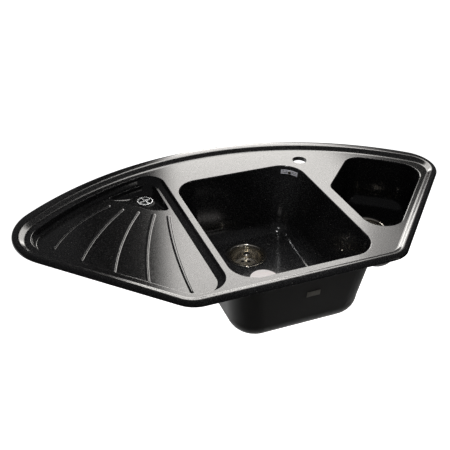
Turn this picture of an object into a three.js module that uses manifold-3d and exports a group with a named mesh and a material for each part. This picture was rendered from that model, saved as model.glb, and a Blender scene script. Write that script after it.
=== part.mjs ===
// Corner kitchen sink in one moulding of stone composite: a ribbed drainer with a small sump on the left, a main
// bowl in the middle and a half bowl on the right, with a waste kit under each bowl, a grid waste in the sump, an
// overflow and the two hoses that lead to the main waste.
// Millimetres. X runs along the front edge, Y to the back and Z up. The origin is at the middle of the front edge,
// at the height of the worktop that the rim lies on.
import * as THREE from "three";
import { mergeVertices } from "three/addons/utils/BufferGeometryUtils.js";
import Module from "manifold-3d";

const wasm = await Module();
wasm.setup();

// ---- Plan of the sink ----
const DEPTH = 590; // front edge to back edge
const FRONT_WIDTH = 466; // between the sharp front corners
const END_ANGLE = 45; // the two ends, to the front edge
const BACK_RADIUS = 750;

// ---- Section of the rim and the deck ----
const RIM_HEIGHT = 10; // above the worktop
const RIM_EDGE_HEIGHT = 3.5; // the top of the upright outer edge
const RIM_RELIEF = 1.5; // small slope under that edge, for the sealant
const DECK_DROP = 6; // deck below the rim
// How far each line of the section lies inside the outer edge, and how round its corners are in plan.
const RIM_LINES = {
  edge: { front: 0, end: 0, back: 0, radii: [64, 86, 125, 64] },
  crest: { front: 13, end: 11, back: 14, radii: [52, 74, 106, 52] },
  ridge: { front: 16, end: 14, back: 26, radii: [49, 60, 92, 49] },
  deck: { front: 25, end: 23, back: 43.5, radii: [40, 44, 79, 40] },
};
const WALL = 10; // deck, bowls and drainer
const REST_WIDTH = 28; // flat under the rim, which lies on the worktop
const LIP_RADIUS = 3;

// ---- Drainer and its sump ----
// Each is an opening and, a wall's run further in, the outline of its floor.
const DRAINER_DEPTH = 16; // below the deck
const DRAINER_OPENING = { front: 36, right: -138, back: 58, end: 38, radii: [46, 42, 60, 45] };
const DRAINER_RUN = { front: 10, right: 12, back: 5.5, end: 9, radii: [42, 38, 56, 42] };
const RIB_HEIGHT = 2.2;
const RIB_WIDTH = { sump: 7, end: 4.4 };
const RIBS = [
  { from: [-284, DEPTH - 162], to: [-432.5, 299.5], bulge: 15 },
  { from: [-259, DEPTH - 188.5], to: [-388, 239], bulge: 9 },
  { from: [-229, DEPTH - 212.5], to: [-335, 177.5], bulge: 9 },
  { from: [-197.5, DEPTH - 235], to: [-280, 125], bulge: 8 },
  { from: [-168, DEPTH - 253], to: [-210.5, 64.5], bulge: 7 },
];
// The sump's right and back walls are steep, and from its other two sides the floor falls as a ramp.
const SUMP_DEPTH = 18; // below the drainer's floor
const SUMP_OPENING = { right: -157.5, back: 71.5, radii: [22, 6, 60, 8] };
const SUMP_LEFT = { x: -240, y: DEPTH - 169, degrees: -46 };
const SUMP_FRONT = { x: -182, y: DEPTH - 218.5, degrees: -21 };
const SUMP_RUN = { right: 12, back: 11, left: 30, front: 42, radii: [18, 14, 40, 14] };

// ---- Bowls, their depths measured from the rim ----
const MAIN_LEFT = -121;
const MAIN_RIGHT = 198.5;
const MAIN_FRONT = 43.5;
const MAIN_BACK = DEPTH - 144;
const MAIN_RADIUS = 55;
const MAIN_DEPTH = 180;
const MAIN_TAPER = 17; // how much each side comes in towards the floor
const MAIN_FOOT = { corner: 52, fillet: 40 };
const HALF_LEFT = 229;
const HALF_END_INSET = 36;
const HALF_BACK_INSET = 65;
const HALF_SPLAY = 81; // how far its back-left side lies behind the line y = x
const HALF_RADII = { tip: 55, back: 42, left: 30, front: 47 };
const HALF_DEPTH = 128;
const HALF_TAPER = 10;
const HALF_FOOT = { tip: 45, back: 34, left: 33, front: 38, fillet: 32 };
const BOWL_FLOOR_THICKNESS = 12;

// ---- Openings in the moulding ----
const TAP_HOLE = { x: 220, y: DEPTH - 135, radius: 17.5 };
const MAIN_WASTE = { x: 32, y: MAIN_BACK - 103 };
const HALF_WASTE = { x: 329, y: 281 };
const SUMP_WASTE = { x: -190.5, y: DEPTH - 141.5 };
const CUP_RADIUS = { top: 43, bottom: 39 }; // of the strainer cup that hangs in a bowl's floor
const WASTE_HOLE_RADIUS = CUP_RADIUS.top + 2;
const FLANGE_RADIUS = WASTE_HOLE_RADIUS + 5;
const WASTE_SEAT = { radius: FLANGE_RADIUS + 2, depth: 3 };
const SUMP_HOLE_RADIUS = 15;
const SUMP_SEAT = { radius: 21, depth: 1 };
const OVERFLOW = { width: 34, height: 6, below: 20 }; // its middle, below the rim

// ---- Waste kits ----
const GAP = 0.3; // between pieces that touch
const RUNNING = 0.5; // between a thread or spigot and what goes over it
const FLANGE_THICKNESS = 1.2;
const CUP_DEPTH = 42; // below the seat in the bowl's floor
const CUP_HOLES = { count: 6, radius: 7, circle: 22 };
const SEAL_THICKNESS = 1.7;
const BASKET_RADIUS = { top: CUP_RADIUS.top - 4, bottom: CUP_RADIUS.bottom - 5 };
const BASKET_DEPTH = 31;
const BASKET_HOLES = { count: 8, radius: 4, circle: 22 };
const BASKET_SLOTS = { count: 10, width: 4, height: 14 };
const STOPPER = { radius: BASKET_RADIUS.bottom - 3.5, thickness: 4 };
const KNOB = { radius: 9, height: 8, above: 4 };
const POST_RADIUS = 3;
const WASTE_SCREW = { radius: 2.9, headRadius: 5.5, headHeight: 3, length: 26 };
const BODY_RADIUS = WASTE_HOLE_RADIUS + 5;
const BODY_WALL = 3;
const BODY_DEPTH = 50; // of its wide part, below the floor's underside
const BODY_FLANGE = { radius: BODY_RADIUS + 6, thickness: 4.4 };
const OUTLET = { radius: 20, bore: 16.5, length: 30 };
const NUT = { radius: 26, height: 24, lip: 3 };
const SPIGOT = { radius: 7.3, bore: 5.5, length: 20 };
const INLET_DROP = 24; // of a hose inlet below the floor's underside
const HOSE = { radius: 10, bore: 8 };

// ---- Sump waste and overflow ----
const GRID = { radius: 19, ring: 3, bar: 3, thickness: 2 };
const GRID_SCREW = { radius: 2, headRadius: 3.6, headHeight: 1.6, length: 22 };
const SUMP_BODY = { radius: 19, wall: 2.5, depth: 28, flange: 24 };
const PLATE = { width: 48, height: 11, thickness: 1.2, slots: 2, slotHeight: 2, inset: 3.4 }; // the wall leans in
const DUCT = { width: 46, height: 38, depth: 10, wall: 2 };
const DUCT_SPIGOT_OUT = 9; // behind the moulding's outer face
const OVERFLOW_SCREW = { radius: 1.9, headRadius: 4, headHeight: 2 };

// ---- Blank label and plate ----
const FLOOR_LABEL = { x: 33, y: MAIN_WASTE.y - 103, radius: 34, thickness: 0.4 };
const FRONT_PLATE = { x: 48, below: 80, width: 31, height: 14, thickness: 0.8 };

// ---- Levels that follow from these ----
const DECK_TOP = RIM_HEIGHT - DECK_DROP;
const DRAINER_FLOOR = DECK_TOP - DRAINER_DEPTH;
const SUMP_FLOOR = DRAINER_FLOOR - SUMP_DEPTH;
const MAIN_FLOOR = RIM_HEIGHT - MAIN_DEPTH;
const HALF_FLOOR = RIM_HEIGHT - HALF_DEPTH;
const BACK_CENTRE_Y = DEPTH - BACK_RADIUS;

// ---- Loops: closed outlines of lines and arcs, run anticlockwise ----
const FACET = 0.25; // how far a facet may lie inside its arc

// A straight edge through a point, with the inside on its left.
const line = (x, y, degrees) => ({ x, y, angle: THREE.MathUtils.degToRad(degrees) });
// A curved edge that runs parallel to the back of the sink.
const backEdge = (inset) => ({ x: 0, y: BACK_CENTRE_Y, radius: BACK_RADIUS - inset });
// The sink's right end (side 1) or left end (side -1), moved inwards.
function endEdge(side, inset) {
  const shift = inset / Math.sin(THREE.MathUtils.degToRad(END_ANGLE));
  return line(side * (FRONT_WIDTH / 2 - shift), 0, side * END_ANGLE);
}

// The centre of the arc of this radius that rounds the corner between two edges.
function cornerCentre(before, after, radius) {
  const straight = before.radius ? after : before;
  const other = before.radius ? before : after;
  const moved = (edge) => [edge.x - Math.sin(edge.angle) * radius, edge.y + Math.cos(edge.angle) * radius];
  const [px, py] = moved(straight);
  const [ux, uy] = [Math.cos(straight.angle), Math.sin(straight.angle)];
  if (!other.radius) {
    const [qx, qy] = moved(other);
    const [vx, vy] = [Math.cos(other.angle), Math.sin(other.angle)];
    const along = ((qx - px) * vy - (qy - py) * vx) / (ux * vy - uy * vx);
    return { x: px + along * ux, y: py + along * uy };
  }
  const [dx, dy] = [px - other.x, py - other.y];
  const half = dx * ux + dy * uy;
  const root = Math.sqrt(half ** 2 - dx ** 2 - dy ** 2 + (other.radius - radius) ** 2);
  const along = -half + (before.radius ? -root : root);
  return { x: px + along * ux, y: py + along * uy };
}

function arcBetween(centre, radius, from, to, ends) {
  const sweep = THREE.MathUtils.euclideanModulo(to - from, 2 * Math.PI);
  const steps = Math.max(2, Math.ceil(sweep / (2 * Math.acos(1 - FACET / radius))));
  return { ...centre, radius, from, sweep, steps, ends };
}

// radii[i] rounds the corner between edges[i] and the edge after it.
function loopOf(edges, radii) {
  const after = (i) => edges[(i + 1) % edges.length];
  const centres = edges.map((edge, i) => cornerCentre(edge, after(i), radii[i]));
  const facing = (edge, centre) =>
    edge.radius ? Math.atan2(centre.y - edge.y, centre.x - edge.x) : edge.angle - Math.PI / 2;
  return edges.flatMap((edge, i) => {
    const corner = arcBetween(centres[i], radii[i], facing(edge, centres[i]), facing(after(i), centres[i]), true);
    if (!edge.radius) return [corner];
    const [from, to] = [facing(edge, centres.at(i - 1)), facing(edge, centres[i])];
    return [arcBetween({ x: edge.x, y: edge.y }, edge.radius, from, to, false), corner];
  });
}

// A loop between two others of the same kind, with the first one's point count.
function blend(first, second, share) {
  const mix = (i, key) => THREE.MathUtils.lerp(first[i][key], second[i][key], share);
  return first.map((arc, i) => {
    const [x, y, radius, from, sweep] = ["x", "y", "radius", "from", "sweep"].map((key) => mix(i, key));
    return { ...arc, x, y, radius, from, sweep };
  });
}

// The loop's points, moved inwards. Arcs that don't own their ends share them with the corners beside them.
function loopPoints(loop, inset, z) {
  return loop.flatMap((arc) => {
    const radius = Math.max(arc.radius - inset, 1);
    const first = arc.ends ? 0 : 1;
    return Array.from({ length: arc.steps + 1 - 2 * first }, (_, k) => {
      const angle = arc.from + (arc.sweep * (k + first)) / arc.steps;
      return new THREE.Vector3(arc.x + radius * Math.cos(angle), arc.y + radius * Math.sin(angle), z);
    });
  });
}

// ---- Solids ----

// A manifold-3d solid of any closed three.js geometry.
function solid(geometry) {
  const bare = geometry.clone();
  bare.deleteAttribute("normal");
  bare.deleteAttribute("uv");
  const { attributes, index } = mergeVertices(bare, 1e-3);
  const vertProperties = attributes.position.array;
  return new wasm.Manifold(new wasm.Mesh({ numProp: 3, vertProperties, triVerts: index.array }));
}

const union = (solids) => solids.reduce((sum, next) => sum.add(next));
const cut = (from, solids) => solids.reduce((left, next) => left.subtract(next), from);

// A closed skin over rings of points of equal count, from the top ring down.
function skin(rings) {
  const count = rings[0].length;
  const index = [];
  for (let ring = 0; ring < rings.length - 1; ring++)
    for (let k = 0; k < count; k++) {
      const [upper, lower, next] = [ring * count, (ring + 1) * count, (k + 1) % count];
      index.push(upper + k, lower + k, lower + next, upper + k, lower + next, upper + next);
    }
  const contour = rings[0].map((point) => new THREE.Vector2(point.x, point.y));
  const bottom = (rings.length - 1) * count;
  for (const [a, b, c] of THREE.ShapeUtils.triangulateShape(contour, []))
    index.push(a, b, c, bottom + c, bottom + b, bottom + a);
  const geometry = new THREE.BufferGeometry().setFromPoints(rings.flat());
  return solid(geometry.setIndex(index));
}

// A loop's rings at levels of [inset, height], and a solid through them from the top down.
const rings = (loop, levels) => levels.map(([inset, z]) => loopPoints(loop, inset, z));
const loft = (loop, levels) => skin(rings(loop, levels));

// A body of revolution about Z from a profile of [radius, height], closed on itself or along the axis.
function turned(profile, segments = 28) {
  const area = profile.reduce((sum, [r, z], i) => {
    const [nextR, nextZ] = profile[(i + 1) % profile.length];
    return sum + r * nextZ - nextR * z;
  }, 0);
  const points = (area > 0 ? profile : [...profile].reverse()).map(([r, z]) => new THREE.Vector2(r, z));
  const onAxis = points.findIndex((point) => point.x === 0);
  if (onAxis < 0) points.push(points[0].clone());
  else while (points[0].x !== 0 || points.at(-1).x !== 0) points.push(points.shift());
  return solid(new THREE.LatheGeometry(points, segments).rotateX(Math.PI / 2));
}

const disc = (radius, top, bottom, segments) =>
  turned([[0, bottom], [radius, bottom], [radius, top], [0, top]], segments);
const ringOf = (outer, inner, top, bottom, segments) =>
  turned([[inner, bottom], [outer, bottom], [outer, top], [inner, top]], segments);
const box = (x, y, z) => solid(new THREE.BoxGeometry(x, y, z));
const at = (shape, x, y, z = 0) => shape.translate([x, y, z]);
const around = (count, make) => Array.from({ length: count }, (_, k) => make((360 * k) / count));

const group = new THREE.Group();

function addNode(name, shape, material, place = {}) {
  const { x = 0, y = 0, z = 0 } = place;
  const { vertProperties, triVerts } = at(shape, x, y, z).getMesh();
  const geometry = new THREE.BufferGeometry();
  geometry.setAttribute("position", new THREE.BufferAttribute(vertProperties, 3));
  geometry.setIndex(new THREE.BufferAttribute(triVerts, 1));
  const faceted = geometry.toNonIndexed();
  faceted.computeVertexNormals();
  const node = new THREE.Mesh(faceted, material);
  node.name = name;
  group.add(node);
}

const finish = (color, roughness, metalness) => new THREE.MeshStandardMaterial({ color, roughness, metalness });
const STONE = finish(0x26262a, 0.45, 0);
const STEEL = finish(0xb9b6ae, 0.28, 1);
const CHROME = finish(0xd4d6d8, 0.1, 1);
const RUBBER = finish(0x1c1c1c, 0.85, 0);
const WHITE_PLASTIC = finish(0xe6e6e2, 0.5, 0);
const GREY_PLASTIC = finish(0x9ea3a8, 0.55, 0);
const PAPER = finish(0xf2f0ec, 0.8, 0);

// ---- The moulding ----
const rimLine = ({ front, end, back, radii }) =>
  loopOf([line(0, front, 0), endEdge(1, end), backEdge(back), endEdge(-1, end)], radii);
const outline = rimLine(RIM_LINES.edge);
const drainerLoop = ({ front, right, back, end }, radii) =>
  loopOf(
    [
      line(0, DRAINER_OPENING.front + front, 0),
      line(DRAINER_OPENING.right - right, 0, 90),
      backEdge(DRAINER_OPENING.back + back),
      endEdge(-1, DRAINER_OPENING.end + end),
    ],
    radii,
  );
// A straight edge, moved inwards.
const movedLine = ({ x, y, degrees }, inset) => {
  const angle = THREE.MathUtils.degToRad(degrees);
  return line(x - Math.sin(angle) * inset, y + Math.cos(angle) * inset, degrees);
};
const sumpLoop = ({ right, back, left, front }, radii) =>
  loopOf(
    [
      line(SUMP_OPENING.right - right, 0, 90),
      backEdge(SUMP_OPENING.back + back),
      movedLine(SUMP_LEFT, left),
      movedLine(SUMP_FRONT, front),
    ],
    radii,
  );
const drainer = {
  opening: drainerLoop({ front: 0, right: 0, back: 0, end: 0 }, DRAINER_OPENING.radii),
  foot: drainerLoop(DRAINER_RUN, DRAINER_RUN.radii),
  top: DECK_TOP,
  floor: DRAINER_FLOOR,
};
const sump = {
  opening: sumpLoop({ right: 0, back: 0, left: 0, front: 0 }, SUMP_OPENING.radii),
  foot: sumpLoop(SUMP_RUN, SUMP_RUN.radii),
  top: DRAINER_FLOOR,
  floor: SUMP_FLOOR,
};
// A bowl's outline, moved inwards: at the opening, and where its walls meet the floor's fillet.
const mainLoop = (inset, radius) =>
  loopOf(
    [
      line(0, MAIN_FRONT + inset, 0),
      line(MAIN_RIGHT - inset, 0, 90),
      line(0, MAIN_BACK - inset, 180),
      line(MAIN_LEFT + inset, 0, 270),
    ],
    [radius, radius, radius, radius],
  );
const halfLoop = (inset, { tip, back, left, front }) =>
  loopOf(
    [
      endEdge(1, HALF_END_INSET + inset),
      backEdge(HALF_BACK_INSET + inset),
      line(0, HALF_SPLAY - inset * Math.SQRT2, 225),
      line(HALF_LEFT + inset, 0, 270),
    ],
    [tip, back, left, front],
  );
const mainBowl = {
  opening: mainLoop(0, MAIN_RADIUS),
  foot: mainLoop(MAIN_TAPER, MAIN_FOOT.corner),
  fillet: MAIN_FOOT.fillet,
  floor: MAIN_FLOOR,
};
const halfBowl = {
  opening: halfLoop(0, HALF_RADII),
  foot: halfLoop(HALF_TAPER, HALF_FOOT),
  fillet: HALF_FOOT.fillet,
  floor: HALF_FLOOR,
};

const quarter = (steps, make) => Array.from({ length: steps + 1 }, (_, k) => make((Math.PI / 2) * (k / steps)));

// The levels of a quarter round at the foot of a wall, from the wall down to the floor.
const footLevels = (inset, floor, radius, steps) =>
  quarter(steps, (a) => [inset + radius * (1 - Math.cos(a)), floor + radius * (1 - Math.sin(a))]);

// The levels of the rounded lip of a hollow, from the deck down to the wall.
const lipLevels = (top, radius, steps) =>
  quarter(steps, (a) => [-radius * (1 - Math.sin(a)), top - radius * (1 - Math.cos(a))]);

function bowlHollow({ opening, foot, fillet, floor }) {
  const lip = lipLevels(DECK_TOP, LIP_RADIUS, 3);
  const levels = [[lip[0][0], DECK_TOP + DECK_DROP], ...lip];
  return skin([...rings(opening, levels), ...rings(blend(opening, foot, 1), footLevels(0, floor, fillet, 5))]);
}

function bowlOutside({ opening, foot, fillet, floor }) {
  const levels = [[-WALL, DECK_TOP - 1], [-WALL, DECK_TOP - WALL]];
  const bottom = footLevels(-WALL, floor - BOWL_FLOOR_THICKNESS, fillet + WALL, 5);
  return skin([...rings(opening, levels), ...rings(blend(opening, foot, 1), bottom)]);
}

// A shallow hollow's wall falls faster at first, and eases into the floor.
function shallowHollow({ opening, foot, top, floor }) {
  const upper = [[-1, DECK_TOP + DECK_DROP], [-1, top], [0, top - 1]];
  return skin([
    ...rings(opening, upper),
    ...rings(blend(opening, foot, 0.4), [[0, floor + (top - floor) * 0.3]]),
    ...rings(blend(opening, foot, 1), [[0, floor]]),
  ]);
}

function shallowOutside({ opening, foot, top, floor }) {
  return skin([...rings(opening, [[-WALL, top - 1]]), ...rings(blend(opening, foot, 1), [[-WALL, floor - WALL]])]);
}

function drainerRib({ from, to, bulge }) {
  const [start, end] = [new THREE.Vector2(...from), new THREE.Vector2(...to)];
  const across = end.clone().sub(start).normalize().rotateAround(new THREE.Vector2(), -Math.PI / 2);
  const middle = start.clone().add(end).multiplyScalar(0.5).addScaledVector(across, 2 * bulge);
  const curve = new THREE.QuadraticBezierCurve(start, middle, end);
  const steps = 8;
  const ring = (trim, z) => {
    const side = (t, sign) => {
      const width = THREE.MathUtils.lerp(RIB_WIDTH.sump, RIB_WIDTH.end, t) / 2 - trim;
      const tangent = curve.getTangent(t);
      return curve.getPoint(t).add(new THREE.Vector2(tangent.y, -tangent.x).multiplyScalar(sign * width));
    };
    const right = Array.from({ length: steps + 1 }, (_, k) => side(k / steps, 1));
    const left = Array.from({ length: steps + 1 }, (_, k) => side(1 - k / steps, -1));
    const head = curve.getPoint(1).addScaledVector(curve.getTangent(1), RIB_WIDTH.end / 2 - trim);
    const tail = curve.getPoint(0).addScaledVector(curve.getTangent(0), trim - RIB_WIDTH.sump / 2);
    return [...right, head, ...left, tail].map((point) => new THREE.Vector3(point.x, point.y, z));
  };
  const top = DRAINER_FLOOR + RIB_HEIGHT;
  return skin([ring(1.2, top), ring(0.4, top - 0.8), ring(0, DRAINER_FLOOR - 1)]);
}

// Shapes round the main bowl's back right corner, in polar form about the corner's centre.
const corner = mainBowl.opening[1];
const CORNER_DEGREES = 45;
const cornerSector = (outer, inner, width, top, bottom) => {
  const reach = width / 2 / MAIN_RADIUS;
  const shape = new THREE.Shape();
  shape.absarc(0, 0, outer, -reach, reach, false);
  shape.absarc(0, 0, inner, reach, -reach, true);
  const geometry = new THREE.ExtrudeGeometry(shape, {
    depth: top - bottom,
    bevelEnabled: false,
    curveSegments: 8,
  });
  return solid(geometry).translate([0, 0, bottom]);
};
const toCorner = (shape) => at(shape.rotate([0, 0, CORNER_DEGREES]), corner.x, corner.y);
const overflowZ = RIM_HEIGHT - OVERFLOW.below;

function sinkMoulding() {
  const crest = rimLine(RIM_LINES.crest);
  const ridge = rimLine(RIM_LINES.ridge);
  const deck = rimLine(RIM_LINES.deck);
  const rimSurface = quarter(4, (a) => {
    const z = RIM_EDGE_HEIGHT + (RIM_HEIGHT - RIM_EDGE_HEIGHT) * Math.cos(a);
    return loopPoints(blend(outline, crest, 1 - Math.sin(a)), 0, z);
  });
  const outside = union([
    skin([...rimSurface, ...rings(outline, [[0, RIM_RELIEF], [RIM_RELIEF, 0]])]),
    loft(outline, [[REST_WIDTH, DECK_TOP + 1], [REST_WIDTH, DECK_TOP - WALL]]),
    shallowOutside(drainer),
    shallowOutside(sump),
    bowlOutside(mainBowl),
    bowlOutside(halfBowl),
  ]);
  const deckPocket = skin([
    ...rings(ridge, [[0, RIM_HEIGHT + 1], [0, RIM_HEIGHT]]),
    ...rings(blend(ridge, deck, 1), [[0, DECK_TOP]]),
  ]);
  const hollows = [
    deckPocket,
    shallowHollow(drainer),
    shallowHollow(sump),
    bowlHollow(mainBowl),
    bowlHollow(halfBowl),
  ];
  const waste = ({ x, y }, floor) => [
    at(disc(WASTE_HOLE_RADIUS, floor + 1, floor - BOWL_FLOOR_THICKNESS - 1), x, y),
    at(disc(WASTE_SEAT.radius, floor + 3, floor - WASTE_SEAT.depth), x, y),
  ];
  const holes = [
    ...waste(MAIN_WASTE, MAIN_FLOOR),
    ...waste(HALF_WASTE, HALF_FLOOR),
    at(disc(SUMP_HOLE_RADIUS, SUMP_FLOOR + 1, SUMP_FLOOR - WALL - 1, 24), SUMP_WASTE.x, SUMP_WASTE.y),
    at(disc(SUMP_SEAT.radius, SUMP_FLOOR + 1, SUMP_FLOOR - SUMP_SEAT.depth), SUMP_WASTE.x, SUMP_WASTE.y),
    at(disc(TAP_HOLE.radius, DECK_TOP + 1, DECK_TOP - WALL - 1), TAP_HOLE.x, TAP_HOLE.y),
    toCorner(at(box(2 * WALL + 10, OVERFLOW.width, OVERFLOW.height), MAIN_RADIUS + WALL / 2, 0, overflowZ)),
  ];
  const ribs = RIBS.map(drainerRib);
  return union([cut(outside, [...hollows, ...holes]), ...ribs]);
}
addNode("sink_moulding", sinkMoulding(), STONE);

// ---- Waste kits of the bowls, built about their own axis with zero height at the seat in the floor ----
const UNDERSIDE = WASTE_SEAT.depth - BOWL_FLOOR_THICKNESS;
const RIM_UNDER = 2 * GAP + SEAL_THICKNESS;
const GASKET_TOP = UNDERSIDE - GAP;
const GASKET_THICKNESS = 3;
const BODY_TOP = GASKET_TOP - GASKET_THICKNESS - GAP;
const BODY_BOTTOM = UNDERSIDE - BODY_DEPTH;
const OUTLET_END = BODY_BOTTOM - OUTLET.length;
const CUP_FLOOR = -CUP_DEPTH + FLANGE_THICKNESS;
const STOPPER_BOTTOM = CUP_FLOOR + GAP;
const STOPPER_TOP = STOPPER_BOTTOM + STOPPER.thickness;
const BASKET_FLOOR = STOPPER_TOP + 3;
const BASKET_TOP = BASKET_FLOOR + BASKET_DEPTH;
const INLET_Z = UNDERSIDE - INLET_DROP;

function strainerCup() {
  const t = FLANGE_THICKNESS;
  const shell = turned([
    [POST_RADIUS + RUNNING, -CUP_DEPTH],
    [CUP_RADIUS.bottom - 4, -CUP_DEPTH],
    [CUP_RADIUS.bottom, 4 - CUP_DEPTH],
    [CUP_RADIUS.top - 1, 0],
    [CUP_RADIUS.top + 1, RIM_UNDER],
    [FLANGE_RADIUS, RIM_UNDER],
    [FLANGE_RADIUS, RIM_UNDER + t],
    [CUP_RADIUS.top, RIM_UNDER + t],
    [CUP_RADIUS.top - 1 - t, 0],
    [CUP_RADIUS.bottom - t, 4 - CUP_DEPTH],
    [CUP_RADIUS.bottom - 4, CUP_FLOOR],
    [POST_RADIUS + RUNNING, CUP_FLOOR],
  ]);
  const drill = at(disc(CUP_HOLES.radius, 1 - CUP_DEPTH + t, -CUP_DEPTH - 1, 12), CUP_HOLES.circle, 0);
  return cut(shell, around(CUP_HOLES.count, (turn) => drill.rotate([0, 0, turn])));
}

function basket() {
  const t = FLANGE_THICKNESS - 0.2;
  const shell = turned([
    [POST_RADIUS + RUNNING, BASKET_FLOOR],
    [BASKET_RADIUS.bottom, BASKET_FLOOR],
    [BASKET_RADIUS.top, BASKET_TOP],
    [BASKET_RADIUS.top - t, BASKET_TOP],
    [BASKET_RADIUS.bottom - t, BASKET_FLOOR + t],
    [POST_RADIUS + RUNNING, BASKET_FLOOR + t],
  ]);
  const drill = at(disc(BASKET_HOLES.radius, BASKET_FLOOR + 2 * t, BASKET_FLOOR - t, 8), BASKET_HOLES.circle, 0);
  const slot = at(
    box(12, BASKET_SLOTS.width, BASKET_SLOTS.height),
    (BASKET_RADIUS.top + BASKET_RADIUS.bottom) / 2,
    0,
    BASKET_FLOOR + BASKET_DEPTH / 2,
  );
  return cut(shell, [
    ...around(BASKET_HOLES.count, (turn) => drill.rotate([0, 0, turn])),
    ...around(BASKET_SLOTS.count, (turn) => slot.rotate([0, 0, turn + 18])),
  ]);
}

// The post with its knob: it holds the stopper below the basket and clears the screw's head.
function basketKnob() {
  const t = FLANGE_THICKNESS - 0.2;
  const knobTop = RIM_UNDER + FLANGE_THICKNESS + KNOB.above;
  const knobFoot = knobTop - KNOB.height;
  return turned(
    [
      [0, STOPPER_TOP + GAP],
      [8, STOPPER_TOP + GAP],
      [8, BASKET_FLOOR - GAP],
      [POST_RADIUS, BASKET_FLOOR - GAP],
      [POST_RADIUS, BASKET_FLOOR + t + GAP],
      [6, BASKET_FLOOR + t + GAP],
      [6, BASKET_FLOOR + t + 2],
      [POST_RADIUS, BASKET_FLOOR + t + 4],
      [POST_RADIUS, knobFoot - 2],
      [KNOB.radius - 3, knobFoot],
      [KNOB.radius, knobFoot + 3],
      [KNOB.radius - 1, knobTop - 2],
      [KNOB.radius - 4, knobTop],
      [0, knobTop],
    ],
    24,
  );
}

function wasteScrew() {
  const headFoot = CUP_FLOOR + GAP;
  return turned(
    [
      [0, headFoot - WASTE_SCREW.length],
      [WASTE_SCREW.radius, headFoot - WASTE_SCREW.length],
      [WASTE_SCREW.radius, headFoot],
      [WASTE_SCREW.headRadius, headFoot],
      [WASTE_SCREW.headRadius, headFoot + WASTE_SCREW.headHeight - 1],
      [WASTE_SCREW.headRadius - 1, headFoot + WASTE_SCREW.headHeight],
      [0, headFoot + WASTE_SCREW.headHeight],
    ],
    16,
  );
}

// The plastic body under the floor, with a boss on three arms for the screw and an inlet for each hose.
function wasteBody(inletDegrees) {
  const inner = BODY_RADIUS - BODY_WALL;
  const shoulder = 12;
  const screwEnd = CUP_FLOOR + GAP - WASTE_SCREW.length;
  const shell = turned([
    [inner, BODY_TOP],
    [BODY_FLANGE.radius, BODY_TOP],
    [BODY_FLANGE.radius, BODY_TOP - BODY_FLANGE.thickness],
    [BODY_RADIUS, BODY_TOP - BODY_FLANGE.thickness],
    [BODY_RADIUS, BODY_BOTTOM + shoulder],
    [OUTLET.radius + 4, BODY_BOTTOM],
    [OUTLET.radius, BODY_BOTTOM],
    [OUTLET.radius, OUTLET_END],
    [OUTLET.bore, OUTLET_END],
    [OUTLET.bore, BODY_BOTTOM + BODY_WALL],
    [inner, BODY_BOTTOM + shoulder + BODY_WALL],
  ]);
  const armTop = -CUP_DEPTH - 4;
  const armHeight = 7;
  const arm = at(box(inner, 3, armHeight), inner / 2 + 1, 0, armTop - armHeight / 2);
  const boss = disc(7, armTop, screwEnd - 3, 16);
  const inlet = (bore, start, end) =>
    disc(bore, end - start, 0, 16).rotate([0, 90, 0]).translate([start, 0, INLET_Z]);
  const reach = BODY_RADIUS + SPIGOT.length;
  const collars = inletDegrees.map((turn) =>
    union([inlet(SPIGOT.radius, inner + 1, reach), inlet(HOSE.radius, inner + 1, BODY_RADIUS + 3)]).rotate([0, 0, turn]),
  );
  const arms = around(3, (turn) => arm.rotate([0, 0, turn + 90]));
  const whole = union([shell, boss, ...arms, ...collars]);
  return cut(whole, [
    disc(WASTE_SCREW.radius + RUNNING, armTop + 1, screwEnd - GAP, 16),
    ...inletDegrees.map((turn) => inlet(SPIGOT.bore, inner - 5, reach + 1).rotate([0, 0, turn])),
  ]);
}

// Twelve grips round the coupling nut.
function couplingNut() {
  const foot = OUTLET_END - GAP - 3 - GAP - NUT.lip;
  const shell = turned([
    [OUTLET.bore, foot],
    [NUT.radius, foot],
    [NUT.radius, foot + NUT.height],
    [OUTLET.radius + RUNNING, foot + NUT.height],
    [OUTLET.radius + RUNNING, foot + NUT.lip],
    [OUTLET.bore, foot + NUT.lip],
  ]);
  const grip = at(box(6, 3.4, NUT.height - 6), NUT.radius + 2, 0, foot + NUT.height / 2 - 1);
  return cut(shell, around(12, (turn) => grip.rotate([0, 0, turn])));
}

function addWasteKit(name, place, floor, inletDegrees) {
  const seat = { ...place, z: floor - WASTE_SEAT.depth };
  const add = (piece, shape, material) => addNode(name + "_" + piece, shape, material, seat);
  const hollow = CUP_RADIUS.top + 2;
  add("flange_seal", ringOf(FLANGE_RADIUS - 0.6, hollow, GAP + SEAL_THICKNESS, GAP), RUBBER);
  add("strainer_cup", strainerCup(), STEEL);
  add("basket", basket(), STEEL);
  add("stopper", ringOf(STOPPER.radius, 6.5, STOPPER_TOP, STOPPER_BOTTOM), RUBBER);
  add("basket_knob", basketKnob(), STEEL);
  add("waste_screw", wasteScrew(), STEEL);
  add("under_gasket", ringOf(BODY_FLANGE.radius - 2, hollow + 2, GASKET_TOP, GASKET_TOP - GASKET_THICKNESS), RUBBER);
  add("waste_body", wasteBody(inletDegrees), WHITE_PLASTIC);
  add("outlet_washer", ringOf(OUTLET.radius - 0.3, OUTLET.bore + 0.2, OUTLET_END - GAP, OUTLET_END - GAP - 3), RUBBER);
  add("outlet_nut", couplingNut(), WHITE_PLASTIC);
}

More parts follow.
